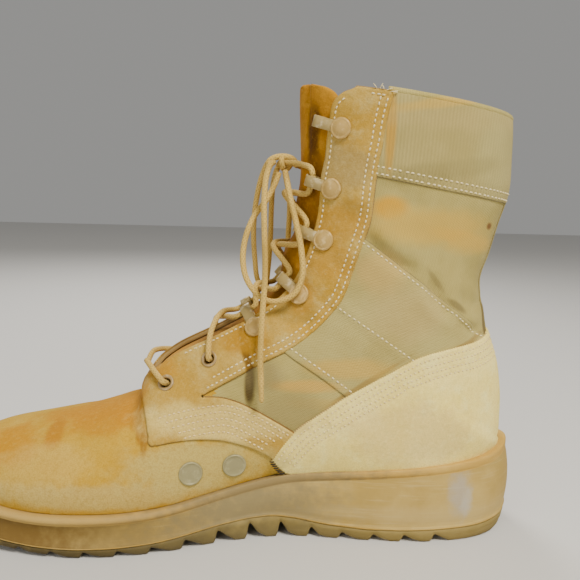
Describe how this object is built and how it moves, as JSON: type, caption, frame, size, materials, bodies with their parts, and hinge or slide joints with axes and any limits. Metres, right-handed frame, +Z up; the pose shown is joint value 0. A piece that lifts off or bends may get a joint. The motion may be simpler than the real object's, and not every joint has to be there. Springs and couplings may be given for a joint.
{
  "type": "combat boot",
  "caption": "Tall lace-up combat boot in rough-out suede and canvas, with a ripple-ribbed rubber sole, lace loops and drain vents.",
  "frame": {"origin": "on the floor, at the middle of the heel's flat resting area", "axes": "+X to the toe, +Y to the medial (inner) side, +Z up; the sole's lowest faces lie on z = 0"},
  "size_m": [0.3196, 0.1091, 0.2445],
  "materials": {
    "outsole_rubber": "matte ochre rubber, lightly dusty",
    "midsole_rubber": "matte tan rubber with a darker rolled rim",
    "suede": "rough-out suede, golden tan with orange wear",
    "suede_pale": "rough-out suede, pale sand, dusty",
    "canvas": "olive-tan woven canvas with stains",
    "tongue_suede": "orange-brown soft suede",
    "lining": "dull brown lining and footbed cloth",
    "hardware": "tan enamel, worn at the edges",
    "lace": "braided nylon cord, beige",
    "thread": "off-white stitching thread"
  },
  "bodies": {
    "root": {"drain_vent_1": "hardware", "drain_vent_2": "hardware", "eyelet_lateral_1": "hardware", "eyelet_lateral_2": "hardware", "eyelet_medial_1": "hardware", "eyelet_medial_2": "hardware", "heel_counter": "suede_pale", "insole": "lining", "lace_bar": "lace", "lace_bow_far": "lace", "lace_bow_near": "lace", "lace_crossing_1": "lace", "lace_crossing_2": "lace", "lace_crossing_3": "lace", "lace_crossing_4": "lace", "lace_end_far": "lace", "lace_end_near": "lace", "lace_knot": "lace", "loop_lateral_3": "hardware", "loop_lateral_4": "hardware", "loop_lateral_5": "hardware", "loop_lateral_6": "hardware", "loop_lateral_7": "hardware", "loop_medial_3": "hardware", "loop_medial_4": "hardware", "loop_medial_5": "hardware", "loop_medial_6": "hardware", "loop_medial_7": "hardware", "midsole": "midsole_rubber", "outsole": "outsole_rubber", "tongue": "tongue_suede", "upper": "suede"}
  },
  "joints": []
}
